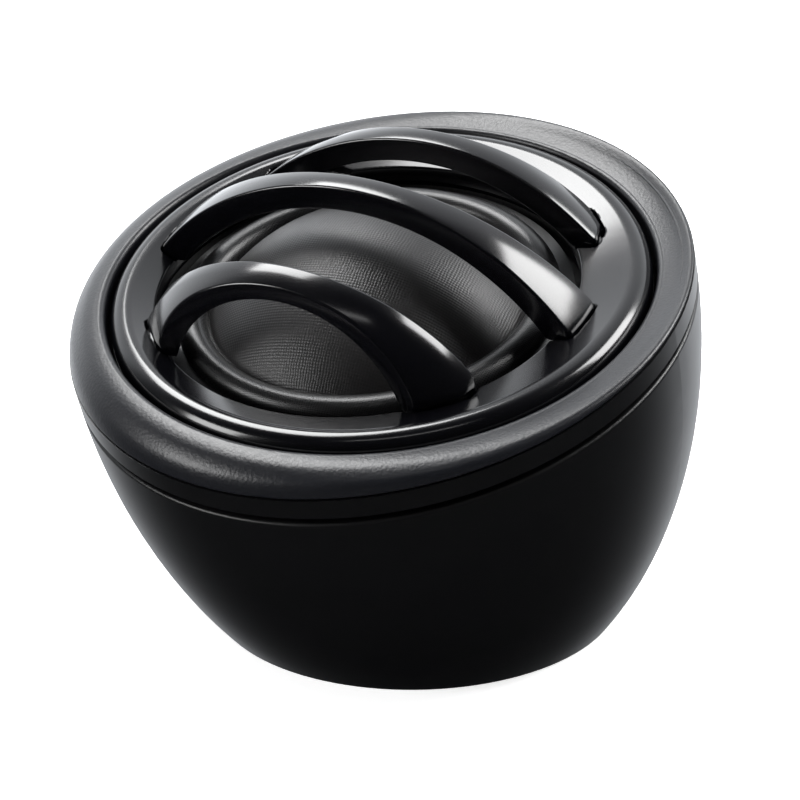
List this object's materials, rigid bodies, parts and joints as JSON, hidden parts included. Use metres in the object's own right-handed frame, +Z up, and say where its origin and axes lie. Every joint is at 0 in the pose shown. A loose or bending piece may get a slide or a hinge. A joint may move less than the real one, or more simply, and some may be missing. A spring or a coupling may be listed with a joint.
{
  "type": "car tweeter",
  "caption": "Silk-dome car tweeter in an angled bowl-shaped surface pod, with a grained bezel and a gloss grille of arched bars on an aimable capsule.",
  "frame": {"origin": "centre of the flat base, on the surface it is fixed to", "axes": "+Z up from the base, +X along the grille bars, -Y the way the face leans"},
  "size_m": [0.05, 0.0516, 0.0403],
  "materials": {
    "cup": "satin moulded black, smooth",
    "collar": "satin moulded black",
    "bezel": "soft-touch black with a fine leather-like grain",
    "gloss": "piano black",
    "rubber": "black rubber",
    "foam": "closed-cell foam",
    "acetal": "dark acetal",
    "housing": "matt glass-filled nylon",
    "silk": "coated woven silk",
    "roll": "coated cloth",
    "kapton": "amber film",
    "copper": "enamelled copper wire",
    "steel": "bright zinc",
    "nickel": "nickel plated",
    "felt": "grey wool felt",
    "board": "brown phenolic",
    "blade": "tinned brass"
  },
  "bodies": {
    "pod": {"mounting_cup": "cup"},
    "collar": {"collar_ring": "collar", "groove_gasket": "rubber", "bezel_ring": "bezel"},
    "carrier": {"swivel_carrier": "acetal", "trunnion_pins": "steel"},
    "capsule": {"capsule_housing": "housing", "grille_ring": "gloss", "grille_bar_front": "gloss", "grille_bar_middle": "gloss", "grille_bar_rear": "gloss", "face_gasket": "foam", "surround": "roll", "diaphragm_frame": "housing", "pole_plate": "steel", "neodymium_disc": "nickel", "yoke_cup": "steel", "damping_felt": "felt", "frame_screws": "steel", "terminal_board": "board", "terminal_positive": "blade", "terminal_negative": "blade", "lead_out_wires": "copper"},
    "diaphragm": {"dome": "silk", "coil_former": "kapton", "voice_coil": "copper"}
  },
  "joints": [
    {"name": "collar_twist", "type": "hinge", "parent": "pod", "child": "collar", "pos_m": [0, -0.00579, 0.0265], "axis": [0, -0.3746, 0.9272], "range_deg": [0, 20]},
    {"name": "capsule_turn", "type": "hinge", "parent": "collar", "child": "carrier", "pos_m": [0, -0.00579, 0.0265], "axis": [0.0645, -0.3298, 0.9418], "range_deg": [-150, 150]},
    {"name": "capsule_tilt", "type": "hinge", "parent": "carrier", "child": "capsule", "pos_m": [0.00001, -0.00586, 0.02669], "axis": [0.9979, 0.0213, -0.0609], "range_deg": [-10, 10]},
    {"name": "dome_stroke", "type": "slide", "parent": "capsule", "child": "diaphragm", "axis": [0.0645, -0.3298, 0.9418], "range_m": [-0.0004, 0.0004], "stiffness_N_per_m": 500, "deforming": ["surround"]}
  ]
}
